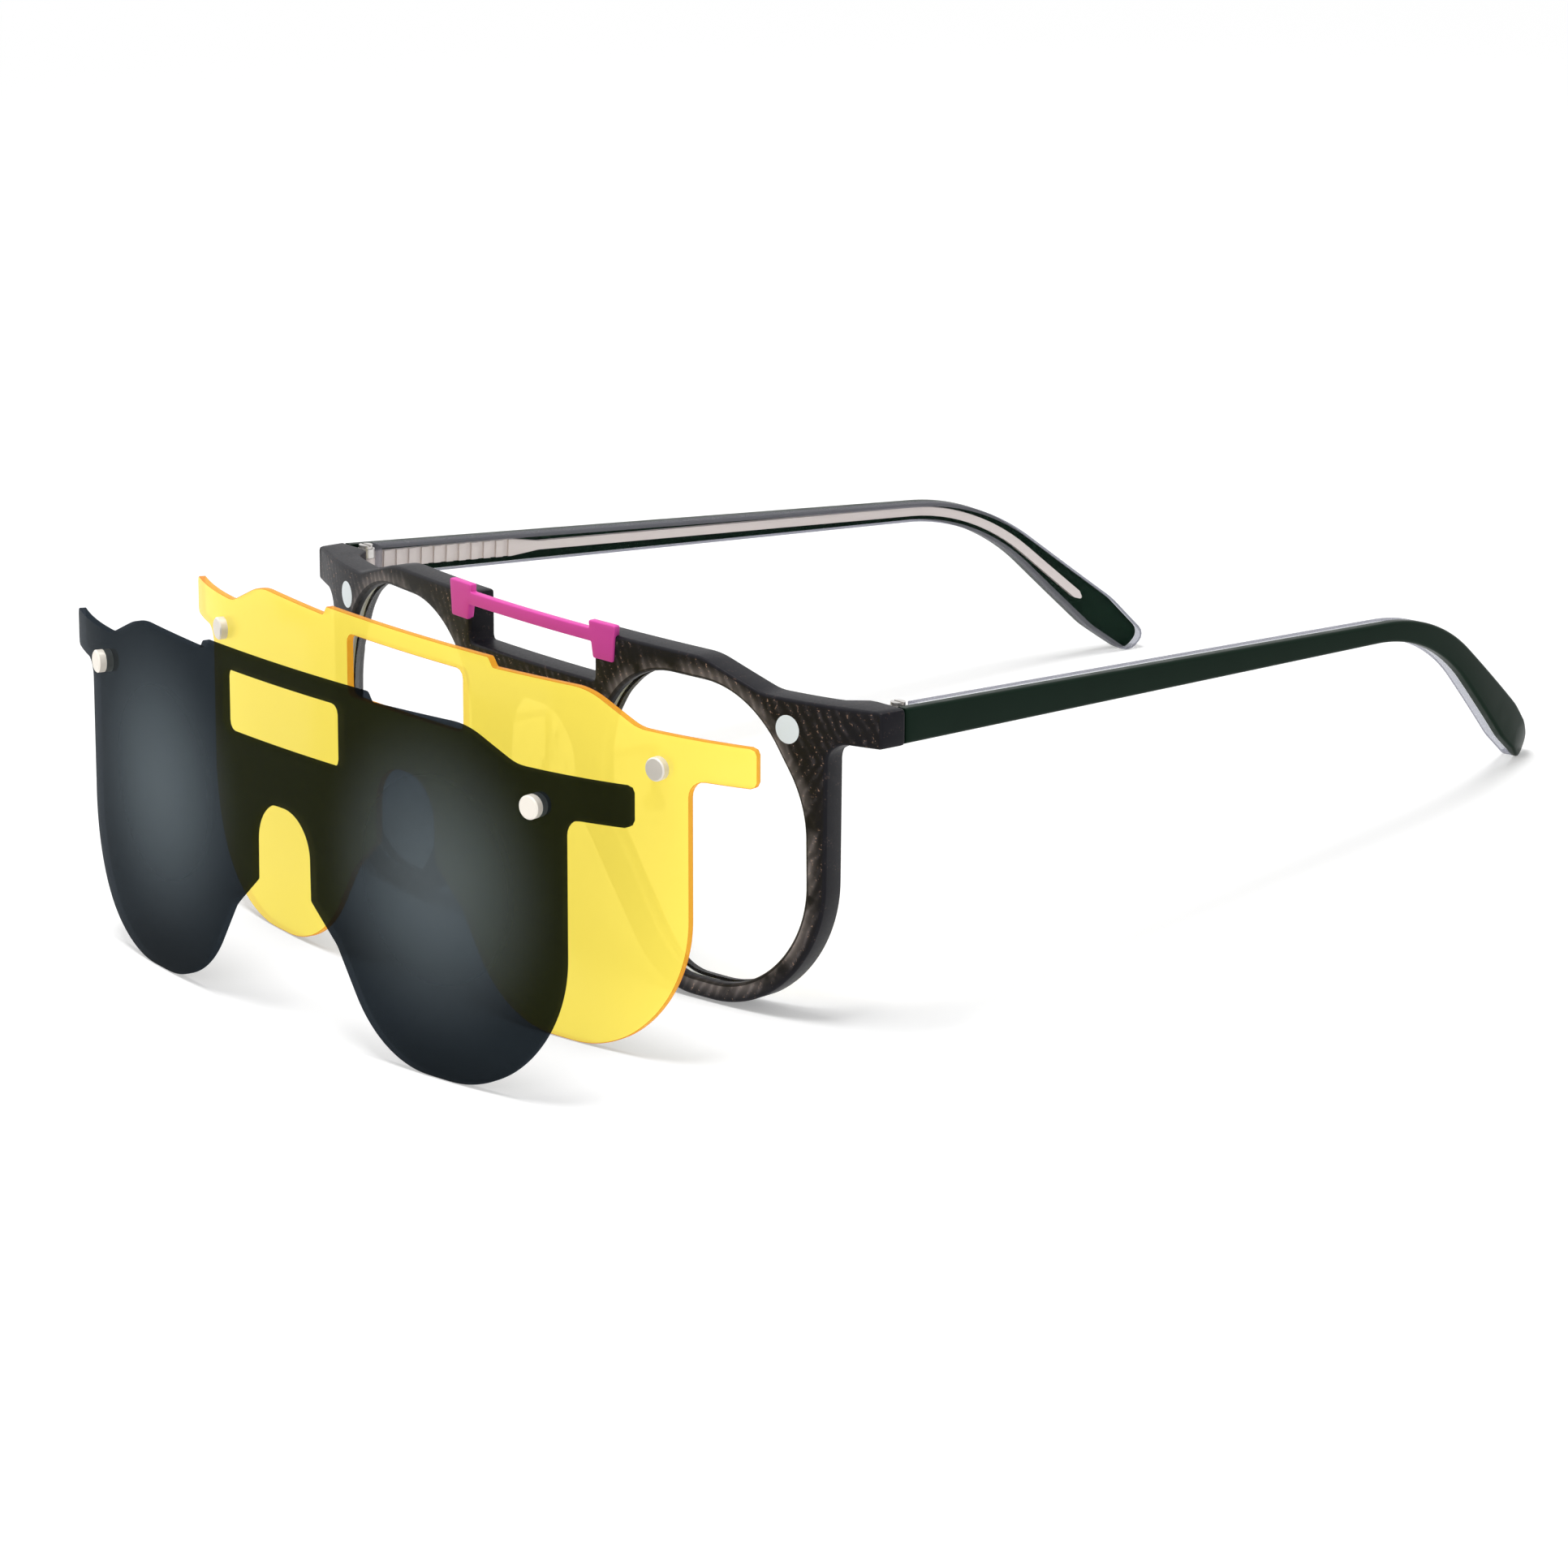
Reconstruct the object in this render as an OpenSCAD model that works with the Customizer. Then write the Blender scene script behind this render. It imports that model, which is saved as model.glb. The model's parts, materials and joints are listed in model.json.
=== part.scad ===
// Eyeglasses with two magnetic clip-on lenses, in millimetres.
// +X is the wearer's left, +Y runs back along the temples, +Z is up. The set stands on z = 0.
// The front leans back by lean, and the front and both clips are drawn upright before they lean.

/* [Front] */
// Radius of the front's curve seen from above
wrap_r = 300; // [240:10:400]
// Tighter radius of the curve where the end pieces sweep back
end_r = 75; // [65:1:95]
// Distance from the centre at which the tighter curve begins
end_x = 50; // [47:0.5:53]
// Thickness of the acetate front
front_t = 4.6; // [4:0.1:5.5]
// Angle by which the front leans back as it stands
lean = 5; // [3:0.5:7]
// Half of the front's width
half_w = 70; // [68:0.5:72]
// Height of the brow above the magnets
brow_z = 8; // [7.5:0.1:8.5]
// Top of the end pieces above the magnets
end_top = 4.5; // [4:0.1:5]
// Underside of the end pieces below the magnets
end_low = 1; // [0.6:0.1:1.4]
// How far the end pieces reach out past the rims
end_l = 8.8; // [8:0.1:9.6]
// Bottom of the rims below the magnets
rim_low = 43.2; // [42:0.2:46]
// Half width of the notch in the brow
notch_x = 15.6; // [14.8:0.1:16.4]
// Floor of the notch above the magnets
notch_z = 0.4; // [0:0.1:1.2]
// Half width of the nose arch
arch_x = 10.6; // [9.8:0.1:11]
// Top of the nose arch below the magnets
arch_top = 5.5; // [5:0.1:6.5]

/* [Lenses] */
// Thickness of the clear lenses
lens_t = 2; // [1.6:0.1:2.4]
// Depth of the lens groove in the rim
groove_d = 0.8; // [0.6:0.05:1]
// Distance from the front face to the lens groove
groove_y = 1.3; // [1:0.1:1.6]
// Height of the rim above the top of each lens opening
rim_top_w = 3.4; // [3:0.1:3.8]
// Width of the rim beside and below each lens opening
rim_w = 2.9; // [2.5:0.1:3.3]

/* [Brow bar] */
// Height of the thin bar
bar_h = 2; // [1.6:0.1:2.4]
// Thickness of the thin bar from front to back
bar_t = 1.2; // [1:0.1:1.6]
// Height of the end plates
plate_h = 5.6; // [5:0.1:6.2]
// Width of the end plates at the top
plate_w = 6; // [5:0.1:6.5]
// How far the plates stand proud of the front
plate_proud = 0.35; // [0.2:0.05:0.5]
// How far the plates stand above the brow
plate_rise = 1.5; // [1:0.1:1.8]
// Diameter of the two studs that hold the plates in the front
stud_d = 1.6; // [1.2:0.1:2]

/* [Magnets] */
// Distance of each magnet from the end of the front
magnet_in = 15; // [14:0.25:16]
// Diameter of the magnets in the front
seat_d = 4.2; // [3.6:0.1:4.6]
// Depth of the magnets in the front
seat_t = 2; // [1.5:0.1:2.5]
// Diameter of the magnets on the clips
pin_d = 3.5; // [3:0.1:3.8]
// How far the clip magnets stand in front of the sheet
pin_front = 1.2; // [0.8:0.1:1.5]
// How far the clip magnets stand behind the sheet
pin_back = 0.9; // [0.7:0.1:1.2]

/* [Clips] */
// Thickness of the clip sheets
clip_t = 1.1; // [0.8:0.1:1.3]
// Distance from the front to the yellow clip as the set is laid out
yellow_gap = 23.1; // [15:0.1:35]
// Distance from the yellow clip to the dark clip as the set is laid out
dark_gap = 22.1; // [15:0.1:35]
// How far the clips reach past the front at each end
clip_over = 0.3; // [-1:0.1:1]
// How far the clips' lobes stay inside the rims
lobe_in = 1.2; // [0.6:0.1:2]
// Top of the raised middle step above the magnets
step_z = 10.3; // [9.8:0.1:11]
// Half width of the raised middle step
step_x = 20.5; // [19:0.25:22]
// Height of the brow of the clips above the magnets
clip_brow_z = 9.2; // [8.6:0.1:9.6]
// Half width of the window
window_x = 14.6; // [13.4:0.1:15.4]
// Top of the window above the magnets
window_top = 7.3; // [6.8:0.1:7.6]
// Bottom of the window below the magnets
window_low = 2.1; // [1.5:0.1:2.8]
// Half width of the clips' nose arch
clip_arch_x = 7.2; // [6.6:0.1:7.6]
// Top of the clips' nose arch below the magnets
clip_arch_top = 10.8; // [10.2:0.1:11.6]

/* [Temples] */
// Length of the straight part of a temple from the hinge to the ear bend
straight_l = 104; // [94:1:112]
// Radius of the ear bend
bend_r = 36; // [30:1:42]
// Angle of the ear bend
bend_a = 39; // [33:1:44]
// Length of the straight tip past the ear bend
tip_l = 27; // [24:1:31]
// Height of a temple at the hinge
temple_h = 5.2; // [4.8:0.1:5.6]
// Height to which it narrows at the ear bend
neck_h = 2.8; // [2.5:0.1:3.4]
// Height of the widened tip
tip_h = 6.4; // [5.8:0.1:7.2]
// Thickness of the outer layer
outer_t = 1.7; // [1.5:0.1:1.9]
// Thickness of the clear lining
lining_t = 2.3; // [2.1:0.1:2.5]
// Angle by which the temples close in towards the tips
splay = 6.4; // [5.5:0.1:7.5]
// Radius of the inward curve of the tips
inward_r = 190; // [160:5:240]

/* [Temple core] */
// Thickness of the metal core
core_t = 1; // [0.8:0.1:1.1]
// Height of the ribbed shank
shank_h = 2.7; // [2.4:0.1:3]
// Length of the ribbed shank
shank_l = 25; // [20:1:30]
// Number of grooves across the shank
rib_n = 11; // [7:1:13]
// Depth of each groove
rib_d = 0.35; // [0.2:0.05:0.5]
// Height of the wire behind the shank
wire_h = 1.4; // [1:0.1:1.6]
// How far the wire stops short of the end of the tip
wire_short = 14; // [10:1:18]

/* [Hinges] */
// Distance of each hinge pin from the end of the front
hinge_in = 4; // [3.8:0.1:4.2]
// Height of the hinge's middle above the magnets
hinge_z = 1.7; // [1.6:0.1:1.8]
// Diameter of the hinge barrels
barrel_d = 2.8; // [2.6:0.1:3]
// Height of the stack of three barrels
stack_h = 4.4; // [4:0.1:4.8]
// Diameter of the hinge screw
screw_d = 1.3; // [1.1:0.05:1.4]

/* [Nose pads] */
// Distance of each pad's middle from the centre
pad_x = 11; // [10.5:0.25:12]
// Height of the pads below the magnets
pad_z = 20.5; // [19:0.5:22]
// Distance from the front face to the middle of the pads
pad_y = 15; // [14.5:0.25:16]
// Height of a pad
pad_h = 13; // [11:0.5:14]
// Width of a pad
pad_w = 7.4; // [6.6:0.2:8]
// Thickness of a pad
pad_t = 2.4; // [2:0.1:2.8]
// Angle of the pads seen from above
pad_turn = 28; // [22:1:34]
// Diameter of the pad arm's wire
arm_d = 1.2; // [1:0.1:1.4]

/* [Clearances] */
// Gap between pieces that are glued or pressed in place
fit_gap = 0.04; // [0.02:0.01:0.06]
// Gap between hinge barrels and round the hinge screw
run_gap = 0.06; // [0.04:0.01:0.08]
// Gap between the front and the open temples
butt_gap = 0.2; // [0.1:0.05:0.3]

/* [Hidden] */
$fn = 96;
// Size of the cutting blocks, larger than the whole set
big = 400;
// Steps in a rounded corner of a drawn outline
corner_steps = 10;

// Places that follow the front's width
rim_x = half_w - end_l;
magnet_x = half_w - magnet_in;
hinge_x = half_w - hinge_in;
clip_half_w = half_w + clip_over;
clip_lobe_x = rim_x - lobe_in;
// Share by which the rims' corners are wider or narrower than drawn
rim_k = rim_x / 61.2;
// The openings' corners tighten on a narrower rim, but their height leaves no room for rounder ones
round_k = min(1, rim_k);

// The plan curve: a wide arc with a tighter arc at each end, both tangent where they meet
end_a = asin(end_x / wrap_r);
end_c = [(wrap_r - end_r) * sin(end_a), wrap_r - (wrap_r - end_r) * cos(end_a)];
// Direction of the plan curve and its depth at a distance x from the centre
function sweep_a(x) = x <= end_x ? asin(x / wrap_r) : asin((x - end_c[0]) / end_r);
function sweep_y(x) = x <= end_x ? wrap_r - sqrt(pow(wrap_r, 2) - x * x)
    : end_c[1] - sqrt(pow(end_r, 2) - pow(x - end_c[0], 2));

// Heights of the standing set: the back edges of the rims' and the lobes' bottoms touch z = 0
rim_r = 21 * rim_k;
lobe_r = 22 * rim_k;
function back_y(x, t) = wrap_r - sqrt(pow(wrap_r - t, 2) - x * x);
front_z = rim_low * cos(lean) + back_y(rim_x - rim_r, front_t) * sin(lean);
clip_low = (front_z - back_y(clip_lobe_x - lobe_r, clip_t) * sin(lean)) / cos(lean);

// The end piece's back face, where the open temple closes against it
butt_y = sweep_y(half_w) + front_t * 0.92;
hinge_y = butt_y + butt_gap + barrel_d / 2 + 0.2;
hinge_h = front_z - hinge_y * sin(lean) + hinge_z * cos(lean);
// Sideways places of the temple's layers, from the hinge pin outwards
outer_w1 = hinge_in - 0.4;
outer_w0 = outer_w1 - outer_t;
lining_w1 = outer_w0 - fit_gap;
lining_w0 = lining_w1 - lining_t;

// Outline of a temple seen from the side, along y from the hinge, as points with corner radii
tip_dir = [cos(bend_a), -sin(bend_a)];
tip_nor = [sin(bend_a), cos(bend_a)];
bend_p = [straight_l + bend_r * tan(bend_a / 2), 0];
tip_reach = bend_r * tan(bend_a / 2) + tip_l;
function on_tip(s, n) = bend_p + tip_dir * s + tip_nor * n;
function knot(p, r) = [p[0], p[1], r];
tip_corner_r = 2.2;
stub_l = 6;
temple_pts = [[-stub_l, temple_h / 2, 0], [bend_p[0] + 0.5, neck_h / 2, bend_r + neck_h / 2],
    knot(on_tip(tip_reach - 9, tip_h / 2), 14), knot(on_tip(tip_reach, tip_h / 2 - 1), 2),
    knot(on_tip(tip_reach, 0.8 - tip_h / 2), tip_corner_r), knot(on_tip(tip_reach - 9, -tip_h / 2), 14),
    [bend_p[0] - 0.5, -neck_h / 2, bend_r - neck_h / 2], [-stub_l, -temple_h / 2, 0]];
// The tip's lower corner is the point that stands on z = 0, which sets the temple's slope
tip_c = corner_centre(temple_pts, 4);
temple_a = asin((hinge_h - tip_corner_r) / norm(tip_c)) + atan2(tip_c[1], tip_c[0]);

// Middle of the set from front to back, which puts the origin under the middle of the set
layout_y = yellow_gap + dark_gap;
set_front = -layout_y + sweep_y(21 * rim_k) - (clip_low - 4.9 * rim_k) * sin(lean);
tip_far = on_tip(tip_reach, tip_h / 2 - 1.6);
set_back = hinge_y * cos(lean) + (tip_far[0] * cos(temple_a) + tip_far[1] * sin(temple_a)) * cos(splay)
    + (outer_w1 - inward_drift(tip_far[0])) * sin(splay);
set_y = -(set_front + set_back) / 2;
// How far the tip's inward curve carries a point sideways
function inward_drift(u) = inward_r - sqrt(pow(inward_r, 2) - pow(u - straight_l, 2));

// Corner i of an outline: points with radii, joined by arcs tangent to both edges
function unit(v) = v / norm(v);
function flat(p) = [p[0], p[1]];
function edge_in(pts, i) = unit(flat(pts[i]) - flat(pts[(i + len(pts) - 1) % len(pts)]));
function edge_out(pts, i) = unit(flat(pts[(i + 1) % len(pts)]) - flat(pts[i]));
function turn(a, b) = atan2(a[0] * b[1] - a[1] * b[0], a * b);
function corner_centre(pts, i) = let (a = edge_in(pts, i), b = edge_out(pts, i), t = turn(a, b),
    side = sign(t)) flat(pts[i]) - a * pts[i][2] * tan(abs(t) / 2) + [-a[1], a[0]] * side * pts[i][2];
function corner(pts, i) = let (r = pts[i][2], a = edge_in(pts, i), t = turn(a, edge_out(pts, i)))
    r == 0 || abs(t) < 1 ? [flat(pts[i])] : let (c = corner_centre(pts, i), s = sign(t),
    n = max(2, ceil(corner_steps * sqrt(r / 20) * abs(t) / 45)))
    [for (k = [0:n]) let (q = turn([1, 0], a) + t * k / n) c + [sin(q), -cos(q)] * r * s];
function rounded(pts) = [for (i = [0:len(pts) - 1]) each corner(pts, i)];
// The same outline grown by d on every side
function grown(pts, d) = [for (i = [0:len(pts) - 1]) let (a = edge_in(pts, i), b = edge_out(pts, i),
    m = [a[1], -a[0]], n = [b[1], -b[0]], p = flat(pts[i]) + (m + n) * d / (1 + m * n),
    s = sign(turn(a, b))) [p[0], p[1], max(0, pts[i][2] + s * d)]];
// Both halves of an outline, from the right half drawn from top to bottom
function both(pts) = concat([for (i = [len(pts) - 1:-1:0]) pts[i]],
    [for (p = pts) [-p[0], p[1], p[2]]]);

// The lens opening of the left rim, anticlockwise
open_top = brow_z - rim_top_w;
open_x = rim_x - rim_w;
open_low = rim_w - rim_low;
lens_in = arch_x + 5;
opening = [[open_x, open_low, 17.5 * round_k], [open_x - 0.3, -10.5, 18 * round_k],
    [open_x - 10.3 * rim_k, open_top, 17 * round_k], [lens_in, open_top, 17 * round_k],
    [lens_in, -18, 11 * round_k], [lens_in + 16 * rim_k, open_low, 10 * round_k]];
// Right half of the front, from the notch round to the nose arch
front_half = [[notch_x, notch_z, 0.6], [notch_x, brow_z, 0.5], [38.5 * rim_k, brow_z, 14],
    [50.4 * rim_k, end_top, 9], [half_w, end_top, 0.7], [half_w, -end_low, 0.7],
    [rim_x + 0.4, -end_low, 3], [rim_x, -rim_low, rim_r], [29 * rim_k, -rim_low, 15 * rim_k],
    [arch_x + 0.6, -19.5, 6], [arch_x - 0.6, -arch_top, 8.6]];
// Right half of a clip, from the raised step round to the nose arch
clip_half = [[step_x, step_z, 0.6], [step_x + 1, clip_brow_z - 0.3, 0.5],
    [41.5 * rim_k, clip_brow_z + 0.1, 14], [51.2 * rim_k, 5.2, 8], [clip_half_w, 4.9, 1],
    [clip_half_w, -1, 1], [clip_lobe_x, -1, 2.6], [clip_lobe_x, -clip_low, lobe_r],
    [23.5 * rim_k, -clip_low, 19 * rim_k], [clip_arch_x + 6.4, -28.6, 4.5],
    [clip_arch_x + 0.2, -23.3, 0.5], [clip_arch_x, -clip_arch_top, 6.5]];
window_r = 1.4;
window_pts = [[window_x, -window_low, window_r], [window_x, window_top, window_r],
    [-window_x, window_top, window_r], [-window_x, -window_low, window_r]];

// Brow bar: plates that taper downwards, joined by the thin bar
plate_z1 = brow_z + plate_rise;
plate_z0 = plate_z1 - plate_h;
plate_pts = [[notch_x - 1, plate_z1], [notch_x - 1 + plate_w, plate_z1],
    [notch_x + plate_w * 0.75, plate_z0], [notch_x + 0.05, plate_z0]];
bar_z1 = plate_z1 - 1.2;
stud_x = notch_x + plate_w * 0.35;
stud_z = (plate_z0 + brow_z) / 2;
stud_l = 1.2;

// Hinge leaf: a plate let into the end piece, with the top and bottom barrels
leaf_w = 4.2;
leaf_h = stack_h;
leaf_t = 1.1;
arm_w = 1.8;
knuckle_h = (stack_h - 2 * run_gap) / 3;
function knuckle_z(i) = hinge_z - stack_h / 2 + i * (knuckle_h + run_gap);
head_d = 2.2;
head_h = 0.6;
slot_w = 0.4;

// Temple layers behind the hinge, and the core that lies in a groove of the lining
lining_u = barrel_d / 2 + 0.7;
core_w0 = lining_w1 - core_t;
shank_u = lining_u - 0.1;
tail_h = knuckle_h - 0.4;
core_pts = [[shank_u, shank_h / 2, 0], [shank_u + shank_l, shank_h / 2, 2],
    [shank_u + shank_l + 5, wire_h / 2, 4], [bend_p[0] + 0.3, wire_h / 2, bend_r + wire_h / 2],
    knot(on_tip(tip_reach - wire_short, wire_h / 2), 0.4), knot(on_tip(tip_reach - wire_short + 1.5, 0), 0.3),
    knot(on_tip(tip_reach - wire_short, -wire_h / 2), 0.4),
    [bend_p[0] - 0.3, -wire_h / 2, bend_r - wire_h / 2], [shank_u + shank_l + 5, -wire_h / 2, 4],
    [shank_u + shank_l, -shank_h / 2, 2], [shank_u, -shank_h / 2, 0]];

// Nose pads: a lug on the pad's outer side turns on a screw between the cheeks of a small box
lug_p = pad_t / 2 + 1.1;
lug_r = 0.8;
lug_w = 0.9;
box_p0 = pad_t / 2 + 0.4;
box_p1 = lug_p + lug_r + 0.5;
box_w = 2.6;
box_h = 2.4;
pad_screw_d = 0.7;
wire_p = lug_p + 0.7;
arm_x = pad_x + wire_p * cos(pad_turn);
arm_y = pad_y - wire_p * sin(pad_turn);
arm_z = -12;
foot_d = 2.6;
foot_t = 0.9;
rim_back_y = back_y(arm_x, front_t);
magnet_a = sweep_a(magnet_x);

// Places a half's children on the left, or mirrored on the right
module on_side(side) { mirror([side < 0 ? 1 : 0, 0, 0]) children(); }
// Stands the leaning front on z = 0
module standing() { translate([0, set_y, front_z]) rotate([-lean, 0, 0]) children(); }
// Region behind the plan curve, moved back by d
module behind_curve(d) {
    intersection() {
        translate([0, wrap_r]) circle(r = wrap_r - d, $fn = 360);
        polygon([[0, wrap_r], [wrap_r * 2 * tan(end_a), -wrap_r], [-wrap_r * 2 * tan(end_a), -wrap_r]]);
    }
    for (s = [-1, 1]) translate([s * end_c[0], end_c[1]]) circle(r = end_r - d, $fn = 360);
}
// A curved sheet that follows the plan curve from depth d to depth d + t, cut to a drawn outline
module sheet(d, t) {
    intersection() {
        translate([0, big / 2, 0]) rotate([90, 0, 0]) linear_extrude(height = big) children();
        linear_extrude(height = big, center = true) intersection() {
            translate([-big, -big]) square([2 * big, big + end_c[1] * 0.75]);
            difference() {
                behind_curve(d);
                behind_curve(d + t);
            }
        }
    }
}
// Places children at the left magnet, with +Z along the outward normal of the front face
module at_magnet() {
    translate([magnet_x, sweep_y(magnet_x), 0]) rotate([90, 0, magnet_a]) children();
}

// The acetate front with its lens grooves and the pockets for what is set into it
module frame_front() {
    color([0.14, 0.13, 0.14]) standing() difference() {
        union() {
            sheet(0, front_t) polygon(rounded(both(front_half)));
            for (s = [-1, 1]) on_side(s) end_block();
        }
        translate([-big / 2, butt_y, -big / 2]) cube(big);
        for (s = [-1, 1]) on_side(s) {
            sheet(-2, front_t + 6) polygon(rounded(opening));
            sheet(groove_y - fit_gap, lens_t + 2 * fit_gap)
                polygon(rounded(grown(opening, groove_d)));
            at_magnet() translate([0, 0, -seat_t - fit_gap])
                cylinder(d = seat_d + 2 * fit_gap, h = seat_t + 2);
            hinge_plate(fit_gap);
            pad_foot(fit_gap);
            brow_plate(fit_gap);
        }
    }
}
// Thickens the end piece back to the flat face that meets the temple
module end_block() {
    x0 = hinge_x - barrel_d / 2 - 1.4;
    y0 = sweep_y(x0) + front_t / 2;
    translate([x0, y0, -end_low])
        cube([half_w - x0, butt_y + 1 - y0, end_low + end_top]);
}
// One end plate of the brow bar with its stud, grown by g where it cuts its bed in the front
module brow_plate(g) {
    sheet(-plate_proud - g, bar_t + 2 * g) polygon(rounded(grown([for (p = plate_pts)
        [p[0], p[1], 0.3]], -g)));
    translate([stud_x, sweep_y(stud_x) + bar_t - plate_proud - 0.5, stud_z]) rotate([-90, 0, 0])
        cylinder(d = stud_d + 2 * g, h = stud_l + 0.5 + g, $fn = 48);
}
// The metal brow bar that closes the notch: two plates, two studs and the thin bar
module brow_bar() {
    color([0.85, 0.28, 0.66]) standing() union() {
        for (s = [-1, 1]) on_side(s) brow_plate(0);
        sheet(-plate_proud, bar_t) translate([-notch_x, bar_z1 - bar_h]) square([2 * notch_x, bar_h]);
    }
}
module lens(side) {
    color([0.9, 0.94, 0.96, 0.35]) standing() on_side(side)
        sheet(groove_y, lens_t) polygon(rounded(grown(opening, groove_d - 2 * fit_gap)));
}
module frame_magnet(side) {
    color([0.86, 0.9, 0.95]) standing() on_side(side) at_magnet()
        translate([0, 0, -seat_t]) cylinder(d = seat_d, h = seat_t);
}

// The plate of a hinge leaf, grown by g where it cuts its pocket in the end piece
module hinge_plate(g) {
    translate([hinge_x - leaf_w / 2 - g, butt_y - leaf_t - g, hinge_z - leaf_h / 2 - g])
        cube([leaf_w + 2 * g, leaf_t + 2 * g, leaf_h + 2 * g]);
}
module barrel(z) { translate([hinge_x, hinge_y, z]) cylinder(d = barrel_d, h = knuckle_h); }
module screw_hole(gap) {
    translate([hinge_x, hinge_y, hinge_z - stack_h]) cylinder(d = screw_d + 2 * gap, h = 2 * stack_h);
}
module hinge_leaf(side) {
    color([0.7, 0.7, 0.72]) standing() on_side(side) difference() {
        union() {
            hinge_plate(0);
            for (i = [0, 2]) {
                barrel(knuckle_z(i));
                translate([hinge_x - arm_w / 2, butt_y - leaf_t / 2, knuckle_z(i)])
                    cube([arm_w, hinge_y - butt_y + leaf_t / 2, knuckle_h]);
            }
        }
        screw_hole(fit_gap);
    }
}
module hinge_screw(side) {
    color([0.78, 0.78, 0.8]) standing() on_side(side)
        translate([hinge_x, hinge_y, hinge_z - stack_h / 2]) difference() {
            union() {
                cylinder(d = screw_d, h = stack_h + head_h / 2);
                translate([0, 0, stack_h + fit_gap]) cylinder(d = head_d, h = head_h);
            }
            translate([-head_d, -slot_w / 2, stack_h + fit_gap + head_h / 2])
                cube([2 * head_d, slot_w, head_h]);
        }
}

// Places children at the pad: +X away from the nose, +Y from the pad's front to its back edge
module at_pad() { translate([pad_x, pad_y, -pad_z]) rotate([0, 0, -pad_turn]) children(); }
// The round foot of a pad arm, set into the back of the rim
module pad_foot(g) {
    translate([arm_x, rim_back_y - foot_t - g, arm_z]) rotate([-90, 0, 0])
        cylinder(d = foot_d + 2 * g, h = foot_t + 0.2 + 2 * g, $fn = 48);
}
module pad_arm(side) {
    color([0.75, 0.76, 0.78]) standing() on_side(side) union() {
        pad_foot(0);
        translate([arm_x, rim_back_y, arm_z]) rotate([-90, 0, 0])
            cylinder(d = arm_d, h = arm_y - rim_back_y, $fn = 32);
        translate([arm_x, arm_y, arm_z]) sphere(d = arm_d, $fn = 32);
        translate([arm_x, arm_y, box_h / 2 - pad_z - 0.3])
            cylinder(d = arm_d, h = pad_z - box_h / 2 + 0.3 + arm_z, $fn = 32);
        at_pad() difference() {
            translate([box_p0, -box_w / 2, -box_h / 2]) cube([box_p1 - box_p0, box_w, box_h]);
            translate([box_p0 - 1, -lug_w / 2 - run_gap, -box_h])
                cube([lug_p + lug_r + 0.1 - box_p0 + 1, lug_w + 2 * run_gap, 2 * box_h]);
            translate([lug_p, 0, 0]) rotate([90, 0, 0])
                cylinder(d = pad_screw_d + 2 * fit_gap, h = 2 * box_w, center = true, $fn = 32);
        }
    }
}
module pad_screw(side) {
    color([0.8, 0.8, 0.82]) standing() on_side(side) at_pad() translate([lug_p, 0, 0])
        rotate([90, 0, 0]) union() {
            cylinder(d = pad_screw_d, h = box_w + 0.4, center = true, $fn = 32);
            translate([0, 0, box_w / 2 + fit_gap]) cylinder(d = 1.3, h = 0.4, $fn = 32);
        }
}
// A clear pad: a stadium outline with a domed face towards the nose, and the lug on its outer side
module nose_pad(side) {
    dome_r = 12;
    color([0.92, 0.94, 0.95, 0.5]) standing() on_side(side) at_pad() difference() {
        union() {
            intersection() {
                translate([-pad_t / 2, 0, 0]) rotate([90, 0, 90]) linear_extrude(height = pad_t) union() {
                    for (s = [-1, 1]) translate([0, s * (pad_h - pad_w) / 2]) circle(d = pad_w);
                    square([pad_w, pad_h - pad_w], center = true);
                }
                translate([dome_r - pad_t / 2, 0, 0]) sphere(r = dome_r);
            }
            translate([pad_t / 2 - 0.3, -lug_w / 2, -lug_r]) cube([lug_p - pad_t / 2 + 0.3, lug_w, 2 * lug_r]);
            translate([lug_p, 0, 0]) rotate([90, 0, 0]) cylinder(r = lug_r, h = lug_w, center = true, $fn = 32);
        }
        translate([lug_p, 0, 0]) rotate([90, 0, 0])
            cylinder(d = pad_screw_d + 2 * run_gap, h = 2 * box_w, center = true, $fn = 32);
    }
}

// Places children on the left temple's own line: +Y along it, +Z up, x = 0 through the hinge pin
module along_temple() {
    translate([hinge_x, set_y + hinge_y * cos(lean) + hinge_z * sin(lean), hinge_h])
        rotate([0, 0, splay]) rotate([-temple_a, 0, 0]) children();
}
// A layer of the temple from sideways place w0 to w1, cut to an outline seen from the side
module layer(w0, w1) {
    intersection() {
        translate([-big / 2, 0, 0]) rotate([90, 0, 90]) linear_extrude(height = big) children();
        linear_extrude(height = big, center = true) {
            translate([w0, -stub_l]) square([w1 - w0, straight_l + stub_l]);
            translate([outer_w1 - inward_r, straight_l]) intersection() {
                difference() {
                    circle(r = inward_r - outer_w1 + w1, $fn = 360);
                    circle(r = inward_r - outer_w1 + w0, $fn = 360);
                }
                square([inward_r + 1, inward_r / 2]);
            }
        }
    }
}
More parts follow.
